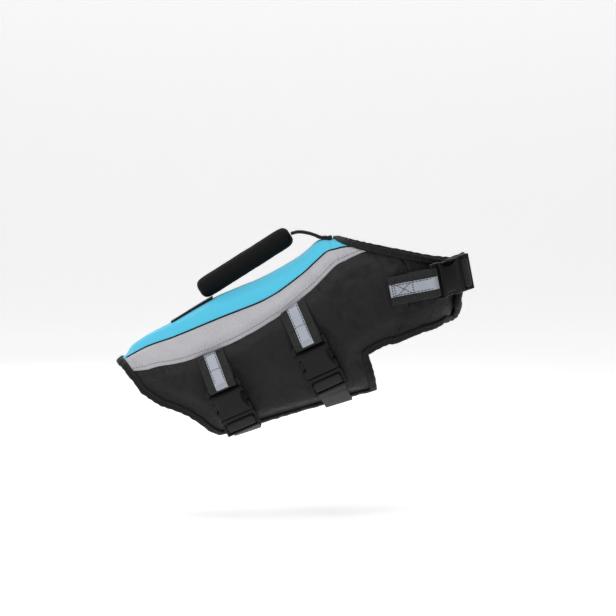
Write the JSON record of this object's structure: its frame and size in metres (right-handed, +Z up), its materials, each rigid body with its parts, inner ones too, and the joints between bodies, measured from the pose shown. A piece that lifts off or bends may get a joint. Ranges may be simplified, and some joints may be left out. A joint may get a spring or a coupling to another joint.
{
  "type": "dog life jacket",
  "caption": "Foam-filled dog flotation jacket held in its worn shape, with a padded carry handle along the back, buckled girth straps and a buckled neck strap",
  "frame": {"origin": "inner face of the back panel on the spine line, halfway along the back, where the wearer's back carries the jacket", "axes": "+X towards the wearer's head, +Y towards the wearer's left side, +Z up"},
  "size_m": [0.3215, 0.1348, 0.1855],
  "materials": {
    "blue_shell": "matt",
    "grey_shell": "matt",
    "black_shell": "matt",
    "webbing": "matt",
    "reflective_tape": "satin",
    "buckle": "satin",
    "grip": "matt"
  },
  "bodies": {
    "root": {"back_panel": "blue_shell", "side_band_right": "grey_shell", "side_band_left": "grey_shell", "flank_right": "black_shell", "flank_left": "black_shell", "chest_flap_right": "black_shell", "chest_flap_left": "black_shell", "belly_wrap": "black_shell", "piping_right": "webbing", "piping_left": "webbing", "edge_binding_lower": "webbing", "edge_binding_neck": "webbing", "handle_grip": "grip", "handle_webbing_rear": "webbing", "handle_webbing_front": "webbing", "rear_strap_upper": "webbing", "rear_strap_lower": "webbing", "rear_strap_tape_near": "reflective_tape", "rear_strap_tape_far": "reflective_tape", "rear_strap_buckle_female": "buckle", "rear_strap_buckle_male": "buckle", "front_strap_upper": "webbing", "front_strap_lower": "webbing", "front_strap_tape_near": "reflective_tape", "front_strap_tape_far": "reflective_tape", "front_strap_buckle_female": "buckle", "front_strap_buckle_male": "buckle", "neck_strap_upper": "webbing", "neck_strap_lower": "webbing", "neck_strap_tape_near": "reflective_tape", "neck_strap_tape_far": "reflective_tape", "neck_strap_buckle_female": "buckle", "neck_strap_buckle_male": "buckle"}
  },
  "joints": []
}
